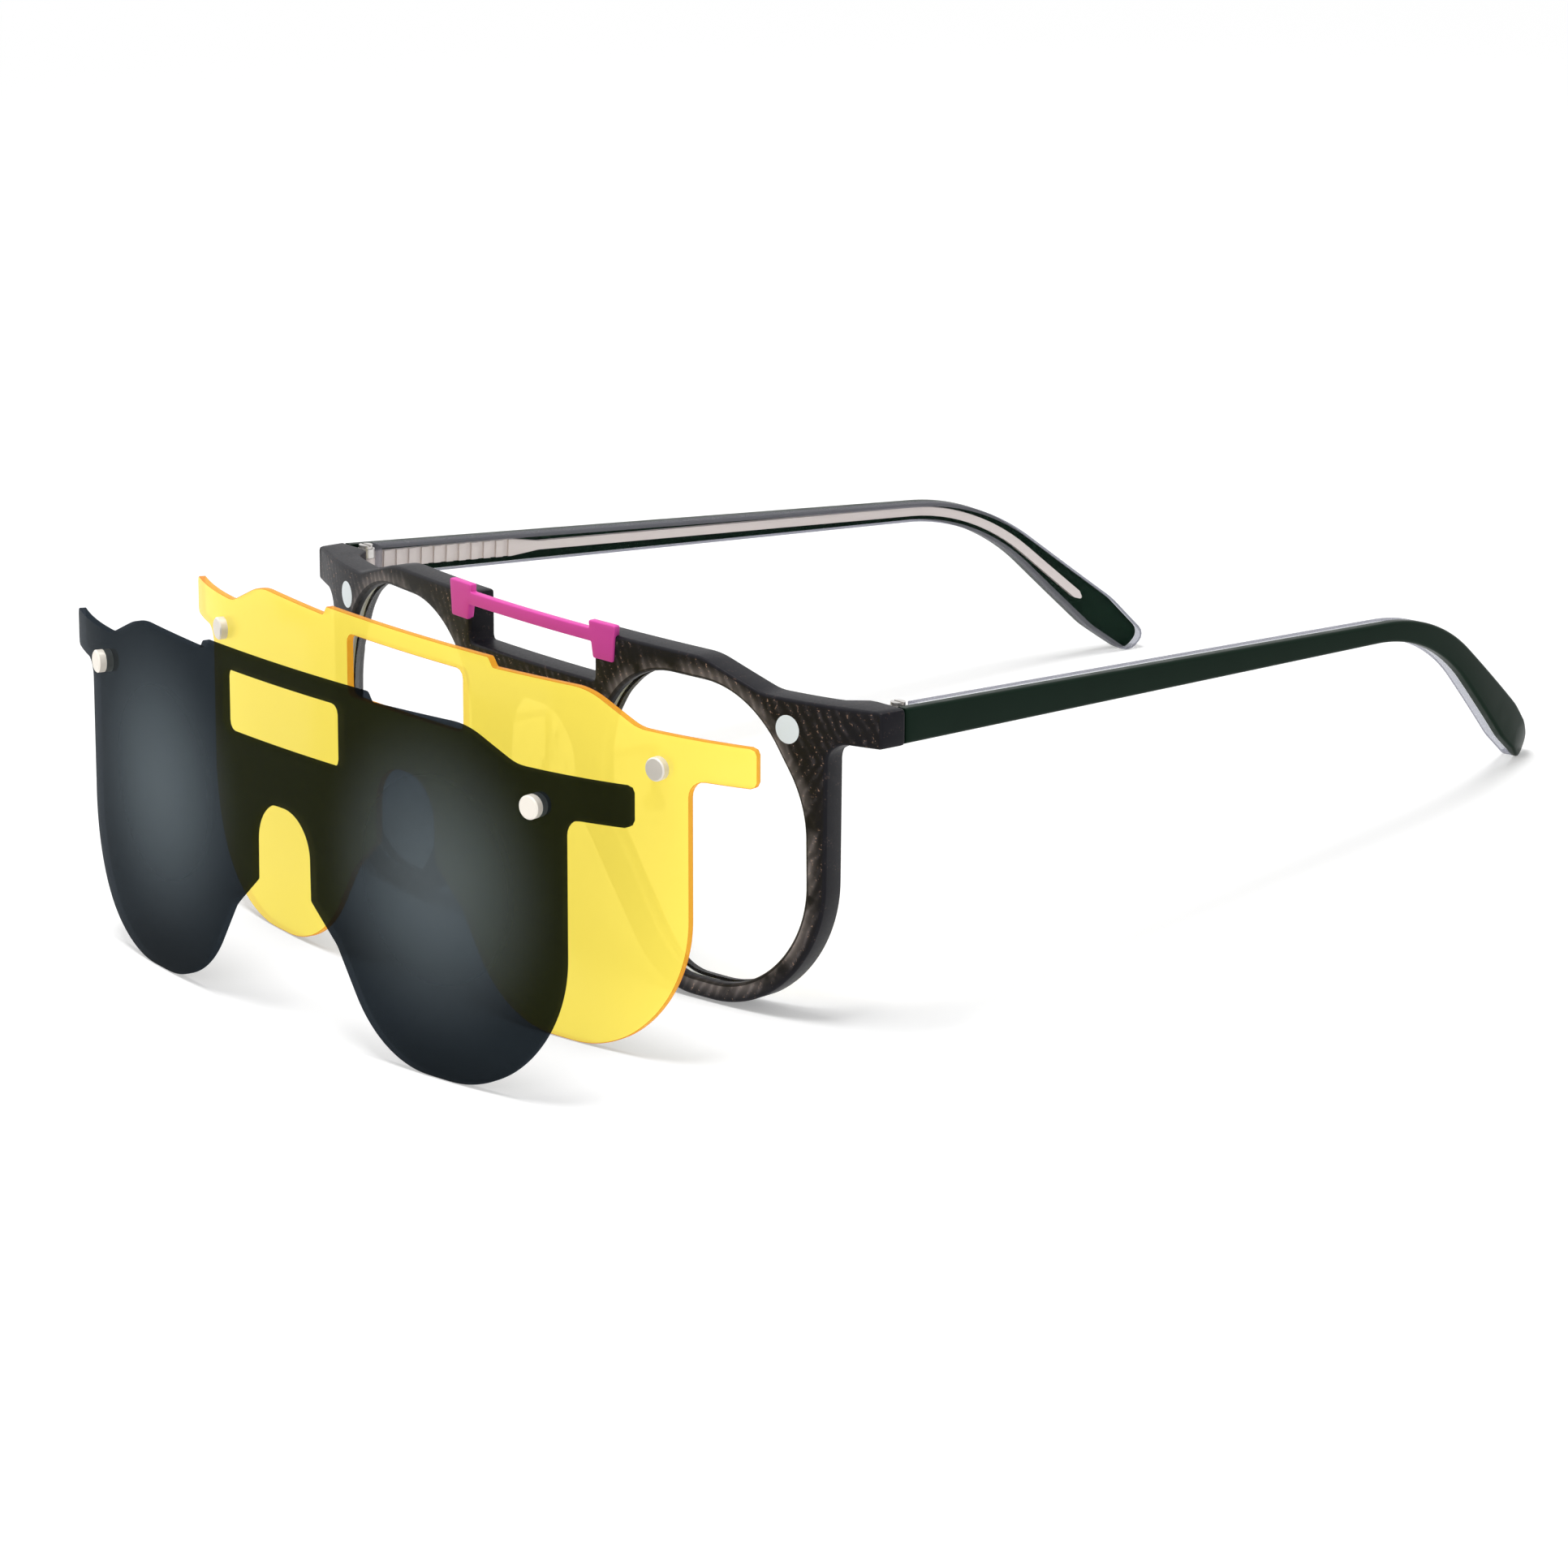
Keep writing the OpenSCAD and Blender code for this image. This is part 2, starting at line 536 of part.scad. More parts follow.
// Takes away what would reach in front of the open temple's end
module butted() {
    difference() {
        children();
        standing() translate([0, butt_y + butt_gap - big / 2, -big / 2]) cube([big, big / 2, big]);
    }
}
module temple_outer(side) {
    color([0.08, 0.16, 0.11]) on_side(side) butted()
        along_temple() layer(outer_w0, outer_w1) polygon(rounded(temple_pts));
}
module temple_lining(side) {
    color([0.85, 0.88, 0.9, 0.4]) on_side(side) along_temple() difference() {
        layer(lining_w0, lining_w1) polygon(rounded(temple_pts));
        translate([-big / 2, lining_u - big, -big / 2]) cube(big);
        layer(core_w0 - fit_gap, lining_w1 + fit_gap) polygon(rounded(grown(core_pts, -fit_gap)));
    }
}
module temple_core(side) {
    pitch = shank_l / rib_n;
    color([0.72, 0.72, 0.74]) on_side(side) difference() {
        union() {
            along_temple() difference() {
                layer(core_w0, lining_w1) polygon(rounded(core_pts));
                for (i = [0:rib_n - 1]) translate([core_w0 - 1, shank_u + pitch * (i + 0.3), -shank_h])
                    cube([1 + rib_d, pitch * 0.45, 2 * shank_h]);
            }
            along_temple() translate([core_w0, 0, -tail_h / 2]) cube([core_t, shank_u + 0.5, tail_h]);
            standing() barrel(knuckle_z(1));
        }
        standing() screw_hole(run_gap);
    }
}

// A clip's sheet with its window and magnet holes, standing at its place d in front of the frame
module clip_sheet(d) {
    translate([0, -d, 0]) standing() difference() {
        sheet(0, clip_t) difference() {
            polygon(rounded(both(clip_half)));
            polygon(rounded(window_pts));
        }
        for (s = [-1, 1]) on_side(s) at_magnet() translate([0, 0, -3 * clip_t])
            cylinder(d = pin_d + 2 * fit_gap, h = 6 * clip_t);
    }
}
// A disc magnet through a clip's sheet, chamfered at both ends
module clip_magnet(side, d) {
    chamfer = 0.2;
    l = pin_front + clip_t + pin_back;
    color([0.8, 0.8, 0.82]) translate([0, -d, 0]) standing() on_side(side) at_magnet()
        translate([0, 0, -clip_t - pin_back]) rotate_extrude() polygon([[0, 0], [pin_d / 2 - chamfer, 0],
            [pin_d / 2, chamfer], [pin_d / 2, l - chamfer], [pin_d / 2 - chamfer, l], [0, l]]);
}
module yellow_clip_sheet() { color([1, 0.86, 0.3, 0.7]) clip_sheet(yellow_gap); }
module dark_clip_sheet() { color([0.16, 0.17, 0.17, 0.9]) clip_sheet(layout_y); }

frame_front();
brow_bar();
lens(1);  // lens_left
lens(-1);  // lens_right
frame_magnet(1);  // frame_magnet_left
frame_magnet(-1);  // frame_magnet_right
hinge_leaf(1);  // hinge_leaf_left
hinge_leaf(-1);  // hinge_leaf_right
hinge_screw(1);  // hinge_screw_left
hinge_screw(-1);  // hinge_screw_right
pad_arm(1);  // pad_arm_left
pad_arm(-1);  // pad_arm_right
pad_screw(1);  // pad_screw_left
pad_screw(-1);  // pad_screw_right
nose_pad(1);  // nose_pad_left
nose_pad(-1);  // nose_pad_right
temple_outer(1);  // temple_outer_left
temple_outer(-1);  // temple_outer_right
temple_lining(1);  // temple_lining_left
temple_lining(-1);  // temple_lining_right
temple_core(1);  // temple_core_left
temple_core(-1);  // temple_core_right
yellow_clip_sheet();
clip_magnet(1, yellow_gap);  // yellow_clip_magnet_left
clip_magnet(-1, yellow_gap);  // yellow_clip_magnet_right
dark_clip_sheet();
clip_magnet(1, layout_y);  // dark_clip_magnet_left
clip_magnet(-1, layout_y);  // dark_clip_magnet_right
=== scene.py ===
import json
import math

import bmesh
import bpy
import numpy as np
from mathutils import Euler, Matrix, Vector
from mathutils.geometry import delaunay_2d_cdt


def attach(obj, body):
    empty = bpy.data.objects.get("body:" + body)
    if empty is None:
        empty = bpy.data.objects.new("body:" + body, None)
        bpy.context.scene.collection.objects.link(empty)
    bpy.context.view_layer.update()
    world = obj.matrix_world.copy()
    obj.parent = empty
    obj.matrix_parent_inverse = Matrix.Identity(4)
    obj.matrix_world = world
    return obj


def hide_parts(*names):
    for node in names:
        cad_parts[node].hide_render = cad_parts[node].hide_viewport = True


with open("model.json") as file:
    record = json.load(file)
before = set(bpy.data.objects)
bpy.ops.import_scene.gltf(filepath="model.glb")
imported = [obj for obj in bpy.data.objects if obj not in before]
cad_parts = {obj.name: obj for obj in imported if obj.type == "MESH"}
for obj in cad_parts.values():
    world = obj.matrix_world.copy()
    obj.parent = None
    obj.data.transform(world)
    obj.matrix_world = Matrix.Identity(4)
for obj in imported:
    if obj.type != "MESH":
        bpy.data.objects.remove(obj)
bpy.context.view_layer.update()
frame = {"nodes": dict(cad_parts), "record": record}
MM = 0.001

# The camera looks at the set from its left front, a little from above, as the photograph does.
# It is a long lens about 0.9 m away, turned slightly so that the set runs downhill to the right.
VIEW_AZIMUTH = math.radians(52.5)
VIEW_ELEVATION = math.radians(17.7)
VIEW_ROLL = math.radians(-4.0)
VIEW_TARGET = Vector((50.9, -49.0, 33.7)) * MM
VIEW_DISTANCE = 900 * MM
SENSOR = 36.0
FOCAL_PIXELS = 7710
PHOTO_WIDTH = 1932

camera_data = bpy.data.cameras.new("camera")
camera_data.sensor_width = SENSOR
camera_data.lens = SENSOR * FOCAL_PIXELS / PHOTO_WIDTH
camera_data.clip_start = 0.05
camera = bpy.data.objects.new("camera", camera_data)
bpy.context.scene.collection.objects.link(camera)
turn = (
    Euler((0, 0, VIEW_AZIMUTH)).to_matrix()
    @ Euler((math.pi / 2 - VIEW_ELEVATION, 0, 0)).to_matrix()
    @ Euler((0, 0, VIEW_ROLL)).to_matrix()
)
camera.rotation_euler = turn.to_euler()
camera.location = VIEW_TARGET + turn @ Vector((0, 0, VIEW_DISTANCE))
bpy.context.scene.camera = camera


# The set stands on a plain white floor under soft studio lamps, as a packshot is lit.
# The floor's own glow lifts it to white near the set, and takes over further out, where the
# lamps no longer reach, so that the shadows stay and the rest is plain.
FLOOR_SIZE = 8.0
FLOOR_LIFT = 0.29
LIT_RADIUS = 0.35
PLAIN_RADIUS = 0.8
LAMP_AIM = Vector((0, -0.02, 0.03))
SOFT_LIGHT = 0.5


class Nodes:
    """The emptied nodes of a material or a world, with short ways to add and link them."""

    def __init__(self, owner):
        owner.use_nodes = True
        self.tree = owner.node_tree
        self.tree.nodes.clear()

    def add(self, kind, **values):
        """A new node, with its settings and the values of its inputs given by name."""
        node = self.tree.nodes.new(kind)
        for key, value in values.items():
            if hasattr(node, key):
                setattr(node, key, value)
            else:
                node.inputs[key.replace("_", " ")].default_value = value
        return node

    def link(self, out_socket, in_socket):
        """Links an output to an input."""
        self.tree.links.new(out_socket, in_socket)

    def place(self):
        """Each point's place on the object, in metres."""
        return self.add("ShaderNodeTexCoord").outputs["Object"]

    def axes(self, place):
        """A place taken apart into its X, Y and Z."""
        apart = self.add("ShaderNodeSeparateXYZ")
        self.link(place, apart.inputs[0])
        return apart.outputs

    def noise(self, place, **values):
        """Noise at a place."""
        cells = self.add("ShaderNodeTexNoise", **values)
        self.link(place, cells.inputs["Vector"])
        return cells.outputs["Fac"]

    def ranged(self, value, **limits):
        """A value carried from one range to another, each of them 0 to 1 if not given."""
        carried = self.add("ShaderNodeMapRange", **limits)
        self.link(value, carried.inputs["Value"])
        return carried.outputs["Result"]

    def eased(self, value, **limits):
        """The same, with a slow start and end."""
        return self.ranged(value, interpolation_type="SMOOTHSTEP", **limits)

    def maths(self, operation, first, *others):
        """One operation on an output and further outputs or numbers."""
        node = self.add("ShaderNodeMath", operation=operation)
        self.link(first, node.inputs[0])
        for socket, other in zip(list(node.inputs)[1:], others):
            if isinstance(other, float):
                socket.default_value = other
            else:
                self.link(other, socket)
        return node.outputs[0]

    def bump(self, height, strength, distance):
        """The surface's direction, disturbed by a height."""
        bent = self.add("ShaderNodeBump", Strength=strength, Distance=distance)
        self.link(height, bent.inputs["Height"])
        return bent.outputs["Normal"]

    def surface(self, linked, **values):
        """A solid surface, with its linked inputs and the fixed values of others by name."""
        shader = self.add("ShaderNodeBsdfPrincipled", **values)
        for name, output in linked.items():
            self.link(output, shader.inputs[name])
        return shader

    def mixed(self, share, first, second):
        """Two shaders mixed. The share of the second is an output or a number."""
        both = self.add("ShaderNodeMixShader")
        if isinstance(share, float):
            both.inputs[0].default_value = share
        else:
            self.link(share, both.inputs[0])
        self.link(first.outputs[0], both.inputs[1])
        self.link(second.outputs[0], both.inputs[2])
        return both

    def show(self, shader, kind="ShaderNodeOutputMaterial"):
        """Makes a shader the one that shows."""
        self.link(shader.outputs[0], self.add(kind).inputs["Surface"])


def material(name):
    """An empty node material, and its nodes."""
    made = bpy.data.materials.new(name)
    return made, Nodes(made)


def plain_floor():
    """White floor: lit diffuse with a little glow near the set, plain glow far from it."""
    made, nodes = material("floor_white")
    length = nodes.add("ShaderNodeVectorMath", operation="LENGTH")
    nodes.link(nodes.place(), length.inputs[0])
    far = nodes.eased(length.outputs["Value"], From_Min=LIT_RADIUS, From_Max=PLAIN_RADIUS)
    lit = nodes.add("ShaderNodeBsdfDiffuse", Color=(0.8, 0.8, 0.8, 1))
    lift = nodes.add("ShaderNodeEmission", Strength=FLOOR_LIFT)
    near = nodes.add("ShaderNodeAddShader")
    nodes.link(lit.outputs[0], near.inputs[0])
    nodes.link(lift.outputs[0], near.inputs[1])
    plain = nodes.add("ShaderNodeEmission", Strength=1.0)
    nodes.show(nodes.mixed(far, near, plain))
    return made


half = FLOOR_SIZE / 2
floor_mesh = bpy.data.meshes.new("floor")
floor_mesh.from_pydata(
    [(-half, -half, 0), (half, -half, 0), (half, half, 0), (-half, half, 0)], [], [(0, 1, 2, 3)]
)
floor_mesh.materials.append(plain_floor())
floor = bpy.data.objects.new("floor", floor_mesh)
bpy.context.scene.collection.objects.link(floor)


def lamp(name, place, size, power):
    """A square soft lamp at a place, in metres, that faces the middle of the set."""
    data = bpy.data.lights.new(name, "AREA")
    data.shape = "SQUARE"
    data.size = size
    data.energy = power
    made = bpy.data.objects.new(name, data)
    made.location = place
    made.rotation_euler = (LAMP_AIM - Vector(place)).to_track_quat("-Z", "Y").to_euler()
    bpy.context.scene.collection.objects.link(made)


lamp("top_lamp", (-0.04, -0.10, 1.3), 0.45, 11)
lamp("front_lamp", (0.5, -1.3, 0.7), 1.2, 5)
lamp("side_lamp", (-1.2, -0.3, 0.6), 1.0, 2)

world = bpy.data.worlds.new("studio")
bpy.context.scene.world = world
studio = Nodes(world)
rays = studio.add("ShaderNodeLightPath").outputs
seen = studio.maths("MAXIMUM", rays["Is Camera Ray"], rays["Is Glossy Ray"])
seen = studio.maths("MAXIMUM", seen, rays["Is Transmission Ray"])
soft = studio.add("ShaderNodeBackground", Strength=SOFT_LIGHT)
white = studio.add("ShaderNodeBackground", Color=(1, 1, 1, 1), Strength=1.0)
studio.show(studio.mixed(seen, soft, white), "ShaderNodeOutputWorld")
bpy.context.scene.view_settings.view_transform = "Standard"


# The acetate front: one milled plate, curved as it wraps round the face, 4.6 mm thick, with both
# lens openings, the notch in the brow, the nose arch and an end piece on each side. Its edges are
# tumbled soft. The acetate is nearly black with slanting rows of fine tan specks.
LEAN = math.radians(5)
HALF_WIDTH = 70.0
WRAP_R = 300.0
END_R = 75.0
END_X = 50.0
FRONT_T = 4.6
HINGE_Y = 16.586
HINGE_Z = 1.7
BUTT_Y = 14.786
END_TOP = 4.5
END_LOW = 1.0
LENS_Y = 1.3
LENS_T = 2.0
LENS_GROOVE = 0.8
FRONT_EDGE_R = 0.5
RAMP_X = 61.9
RAMP_L = 1.5
RAMP_COLUMNS = (61.9, 62.2, 62.5, 62.8, 63.1, 63.4)
OUTLINE_STEP = 1.1
ARC_DENSITY = 1.4
STRAIGHT_BEND = 0.02
EDGE_STEPS = 4
PLATE_GRID = 2.2
GRID_MARGIN = 0.45
FLAT_DROP = 0.02
FAR_LIP = 50.0
WELD = 2e-6
TINY = 1e-12
SPINE_Z = 39.0
ROW_SLANT = 0.55
ROW_SPACING = 1.7
ROW_BEND = 6.0
LIP_WIDTH = 2.6
LIP_FULL = 0.2

joints = {j["name"]: j for j in frame["record"]["behaviour"]["joints"]}
hinge_place = np.array(joints["left_temple_fold"]["pos_m"]) / MM
SET_Y = hinge_place[1] - HINGE_Y * math.cos(LEAN) - HINGE_Z * math.sin(LEAN)
FRONT_Z = hinge_place[2] + HINGE_Y * math.sin(LEAN) - HINGE_Z * math.cos(LEAN)

end_turn = math.asin(END_X / WRAP_R)
end_centre = (
    (WRAP_R - END_R) * math.sin(end_turn),
    WRAP_R - (WRAP_R - END_R) * math.cos(end_turn),
)


def wrapped(x, depth):
    """Where the front's curve carries a place at x, at a depth behind its face: straight in along
    the curve's own normal. The curve is a wide arc, and past END_X a tighter arc tangent to it."""
    across = np.abs(x)
    wide = np.arcsin(np.minimum(across, END_X) / WRAP_R)
    tight = np.arcsin(np.maximum(across - end_centre[0], 0) / END_R)
    angle = np.where(across <= END_X, wide, tight)
    face = np.where(
        across <= END_X, WRAP_R * (1 - np.cos(angle)), end_centre[1] - END_R * np.cos(angle)
    )
    return x - np.sign(x) * np.sin(angle) * depth, face + np.cos(angle) * depth


def stand(points):
    """Leans upright places back about the magnets' height and stands them on the floor. The
    result is in metres."""
    x, y, z = points[..., 0], points[..., 1], points[..., 2]
    back = SET_Y + y * math.cos(LEAN) + z * math.sin(LEAN)
    up = FRONT_Z - y * math.sin(LEAN) + z * math.cos(LEAN)
    return np.stack([x, back, up], axis=-1) * MM


def on_front(flat, depth):
    """Carries outline places (x, z) at a depth onto the front's curve, then leans them."""
    x, y = wrapped(flat[:, 0], depth)
    return stand(np.stack([x, y, flat[:, 1]], axis=-1))


def rounded(corners):
    """An outline's points from corners (x, z, radius): an arc tangent to both edges at each
    corner, and points a step apart along the straight stretches between them."""
    at = np.array(corners, float)
    place, radius = at[:, :2], at[:, 2]
    edge = np.roll(place, -1, 0) - place
    along = edge / np.linalg.norm(edge, axis=1, keepdims=True)
    before = np.roll(along, 1, 0)
    bend = np.arctan2(
        before[:, 0] * along[:, 1] - before[:, 1] * along[:, 0], (before * along).sum(1)
    )
    arcs = []
    for p, r, a, t in zip(place, radius, before, bend):
        if r <= 0 or abs(t) < STRAIGHT_BEND:
            arcs.append(p[None])
            continue
        side = math.copysign(1, t)
        centre = p - a * r * math.tan(abs(t) / 2) + np.array([-a[1], a[0]]) * side * r
        start = math.atan2(a[1], a[0])
        count = max(3, int(r * abs(t) / OUTLINE_STEP * ARC_DENSITY) + 2)
        turned = start + t * np.linspace(0, 1, count)
        arcs.append(centre + np.stack([np.sin(turned), -np.cos(turned)], 1) * r * side)
    points = []
    for arc, following in zip(arcs, arcs[1:] + arcs[:1]):
        points.append(arc)
        gap = np.linalg.norm(following[0] - arc[-1])
        count = int(gap / OUTLINE_STEP)
        if count > 0:
            share = np.linspace(0, 1, count + 2)[1:-1, None]
            points.append(arc[-1] * (1 - share) + following[0] * share)
    return np.concatenate(points)


def grown(corners, distance):
    """The same outline, drawn anticlockwise, with every side moved outwards by a distance."""
    at = np.array(corners, float)
    edge = np.roll(at[:, :2], -1, 0) - at[:, :2]
    along = edge / np.linalg.norm(edge, axis=1, keepdims=True)
    before = np.roll(along, 1, 0)
    m = np.stack([before[:, 1], -before[:, 0]], 1)
    n = np.stack([along[:, 1], -along[:, 0]], 1)
    moved = at[:, :2] + (m + n) * distance / (1 + (m * n).sum(1, keepdims=True))
    side = np.sign(before[:, 0] * along[:, 1] - before[:, 1] * along[:, 0])
    return np.column_stack([moved, np.maximum(0, at[:, 2] + side * distance)])


def mirrored(corners):
    """An outline's corners on the other side, still drawn the same way round."""
    return [(-x, z, r) for x, z, r in reversed(corners)]


def distance_to(points, loops):
    """The distance from each point to the nearest stretch of any loop."""
    nearest = np.full(len(points), np.inf)
    for loop in loops:
        start, end = loop, np.roll(loop, -1, 0)
        edge = end - start
        away = points[:, None] - start[None]
        share = np.clip((away * edge).sum(2) / np.maximum((edge**2).sum(1), TINY), 0, 1)
        gap = away - share[..., None] * edge[None]
        nearest = np.minimum(nearest, np.sqrt((gap**2).sum(2).min(1)))
    return nearest


def inside(points, loops):
    """True where a point lies within the loops, counting how often a ray to +X crosses them."""
    crossings = np.zeros(len(points), int)
    for loop in loops:
        a, b = loop[None], np.roll(loop, -1, 0)[None]
        z, x = points[:, 1:2], points[:, 0:1]
        straddles = (a[..., 1] > z) != (b[..., 1] > z)
        rise = np.where(b[..., 1] == a[..., 1], TINY, b[..., 1] - a[..., 1])
        meet = a[..., 0] + (z - a[..., 1]) * (b[..., 0] - a[..., 0]) / rise
        crossings += (straddles & (x < meet)).sum(1)
    return crossings % 2 == 1


def cap(outlines, edge_r, grid, columns):
    """A flat net over an outline with holes: rings follow each edge where it rounds over, and a
    grid fills the rest. Returns the net's points, its triangles and how deep each point drops."""
    steps = EDGE_STEPS if edge_r > 0 else 0
    insets = [edge_r * (1 - math.cos(k * math.pi / 2 / EDGE_STEPS)) for k in range(steps + 1)]
    edges_of = [rounded(corners) for corners in outlines]
    rings = []
    for inset in insets:
        rings += [rounded(grown(corners, -inset)) for corners in outlines] if inset else edges_of
    low, high = edges_of[0].min(0), edges_of[0].max(0)
    across = np.arange(low[0], high[0], grid)
    extra = [way * c for c in columns for way in (-1, 1)]
    gx, gz = np.meshgrid(np.concatenate([across, extra]), np.arange(low[1], high[1], grid))
    loose = np.stack([gx.ravel(), gz.ravel()], 1)
    loose = loose[inside(loose, edges_of)]
    loose = loose[distance_to(loose, edges_of) > edge_r + grid * GRID_MARGIN]
    starts = np.cumsum([0] + [len(ring) for ring in rings])
    constraints = []
    for start, ring in zip(starts, rings):
        here = np.arange(len(ring))
        pair = np.stack([here, (here + 1) % len(ring)], 1) + start
        constraints += pair.tolist()
    cloud = np.concatenate(rings + [loose])
    made = delaunay_2d_cdt([Vector(p) for p in cloud], constraints, [], 0, 1e-5, False)
    net = np.array([v[:] for v in made[0]])
    faces = np.array([f[:] for f in made[2]])
    faces = faces[inside(net[faces].mean(1), edges_of)]
    apart = np.minimum(distance_to(net, edges_of), edge_r)
    drop = edge_r - np.sqrt(np.maximum(edge_r**2 - (edge_r - apart) ** 2, 0))
    return net, faces, drop


def pushed(line, distance):
    """A closed line with every point moved along its own outward normal by a distance."""
    along = np.roll(line, -1, 0) - np.roll(line, 1, 0)
    along /= np.linalg.norm(along, axis=1, keepdims=True)
    return line + np.stack([along[:, 1], -along[:, 0]], 1) * distance


def plate(
    name, outlines, carry, near, far, near_r, far_r, grid=PLATE_GRID, columns=(), groove=None
):
    """A plate cut to outlines, the first one anticlockwise and its holes clockwise. Its near and
    far faces lie at two depths and round over into its walls, and carry places everything. A
    groove (depth, width, cut) runs round the holes' walls. Walls and rounded edges get material
    slot 1, and the attribute lip holds each point's distance to the holes, in millimetres."""
    points, faces, slots, lip = [], [], [], []
    holes = [rounded(corners) for corners in outlines[1:]]
    count = 0
    for depth, edge_r, way in ((near, near_r, 1), (far, far_r, -1)):
        net, triangles, drop = cap(outlines, edge_r, grid, columns)
        points.append(carry(net, depth + way * drop))
        faces += (triangles[:, ::way] + count).tolist()
        slots += (drop[triangles].mean(1) > FLAT_DROP * edge_r).astype(int).tolist()
        lip.append(np.minimum(distance_to(net, holes), FAR_LIP))
        count += len(net)
    for number, corners in enumerate(outlines):
        edge = rounded(corners)
        rows = [(near + near_r, 0), (far - far_r, 0)]
        if groove and number:
            top, width, cut = groove
            rows[1:1] = [(top, 0), (top, cut), (top + width, cut), (top + width, 0)]
        size = len(edge)
        for depth, cut in rows:
            points.append(carry(pushed(edge, -cut), np.full(size, float(depth))))
            lip.append(np.full(size, FAR_LIP))
        first = np.arange(size)
        after = (first + 1) % size
        for row in range(len(rows) - 1):
            above, below = count + row * size, count + (row + 1) * size
            quads = np.stack([first + above, first + below, after + below, after + above], 1)
            faces += quads.tolist()
            slots += [1] * size
        count += size * len(rows)
    mesh = bpy.data.meshes.new(name)
    mesh.from_pydata(np.concatenate(points).tolist(), [], faces)
    mesh.polygons.foreach_set("material_index", slots)
    mesh.attributes.new("lip", "FLOAT", "POINT").data.foreach_set("value", np.concatenate(lip))
    closed_smooth(mesh)
    return mesh


def closed_smooth(mesh, sharp=35):
    """Joins points that lie together, turns all faces outwards and smooths all but sharp edges."""
    work = bmesh.new()
    work.from_mesh(mesh)
    bmesh.ops.remove_doubles(work, verts=work.verts, dist=WELD)
    bmesh.ops.recalc_face_normals(work, faces=work.faces)
    work.to_mesh(mesh)
    work.free()
    mesh.shade_smooth()
    mesh.set_sharp_from_angle(angle=math.radians(sharp))
    mesh.update()


def piece(mesh, finishes, body, slot, *nodes):
    """Shows a mesh with its materials: it rides on a body and stands for CAD nodes."""
    made = bpy.data.objects.new(mesh.name, mesh)
    for finish in finishes:
        mesh.materials.append(finish)
    bpy.context.scene.collection.objects.link(made)
    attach(made, body)
    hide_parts(*nodes)


def on_frame(flat, depth):
    """Carries outline places onto the front: its back is parallel to the face, except on the end
    pieces, where a short ramp leads to the flat face at the hinge."""
    x, z = flat[:, 0], flat[:, 1]
    ramp = np.clip((np.abs(x) - RAMP_X) / RAMP_L, 0, 1)
    ramp = ramp * ramp * (3 - 2 * ramp)
    face = wrapped(x, 0)[1]
    in_x, in_y = wrapped(x, depth)
    share = depth / FRONT_T
    flat_y = (1 - share) * face + share * BUTT_Y
    y = np.minimum(in_y * (1 - ramp) + flat_y * ramp, BUTT_Y - (FRONT_T - depth) * ramp)
    return stand(np.stack([in_x * (1 - ramp) + x * ramp, y, z], axis=-1))


def acetate(name, specks):
    """Nearly black acetate. Rows of fine tan specks over a brown haze lean one way above the
    magnets and the other way below them, like the barbs of a feather: a sine of the place across
    the rows, bent by noise, marks the rows, and fine noise picks the specks. The thin lip round
    the lenses is painted paler: painted light that stands in for light coming through it."""
    made, nodes = material(name)
    place = nodes.place()
    axes = nodes.axes(place)
    maths = nodes.maths

    def noise(scale, detail, low, high):
        cells = nodes.noise(place, Scale=scale, Detail=detail)
        return nodes.eased(cells, From_Min=low, From_Max=high)

    height = maths("ABSOLUTE", maths("SUBTRACT", axes["Z"], SPINE_Z * MM))
    across = maths("MULTIPLY_ADD", height, ROW_SLANT, axes["X"])
    turns = maths("MULTIPLY", across, 2 * math.pi / (ROW_SPACING * MM))
    bent = maths("MULTIPLY_ADD", noise(220.0, 2.0, 0.0, 1.0), ROW_BEND, turns)
    row = maths("ADD", maths("MULTIPLY", maths("SINE", bent), 0.5), 0.5)
    patch = noise(190.0, 3.0, 0.34, 0.60)
    rows = maths("MULTIPLY", maths("POWER", row, 2.0), patch)
    fog = maths("MULTIPLY", rows, noise(900.0, 3.0, 0.30, 0.75))
    haze = maths("MULTIPLY", fog, 0.8 * specks)
    fine = noise(2600.0, 1.0, 0.61, 0.72)
    spark = maths("MULTIPLY", fine, maths("MULTIPLY", rows, 0.8 * specks))
    # Painted light: the lip round the lenses is painted paler, as if light came through it.
    lip = nodes.add("ShaderNodeAttribute", attribute_name="lip").outputs["Fac"]
    edge = nodes.eased(lip, From_Min=LIP_WIDTH, From_Max=LIP_FULL)
    painted_lip_light = maths("MULTIPLY", edge, maths("MULTIPLY_ADD", rows, 0.75, patch))
    painted_lip_light = maths("MULTIPLY", painted_lip_light, 0.42 * specks)
    previous = None
    layers = (
        (haze, (0.060, 0.053, 0.060, 1)),
        (spark, (0.480, 0.300, 0.210, 1)),
        (painted_lip_light, (0.360, 0.310, 0.290, 1)),
    )
    for amount, colour in layers:
        laid = nodes.add("ShaderNodeMix", data_type="RGBA")
        if previous is None:
            laid.inputs["A"].default_value = (0.0072, 0.0068, 0.0100, 1)
        else:
            nodes.link(previous, laid.inputs["A"])
        laid.inputs["B"].default_value = colour
        nodes.link(amount, laid.inputs["Factor"])
        previous = laid.outputs["Result"]
    marks = nodes.noise(place, Scale=2400.0, Detail=2.0)
    linked = {
        "Base Color": previous,
        "Roughness": nodes.ranged(marks, To_Min=0.36, To_Max=0.50),
        "Normal": nodes.bump(marks, 0.05, 0.0001),
    }
    nodes.show(nodes.surface(linked, Specular_IOR_Level=0.12))
    return made


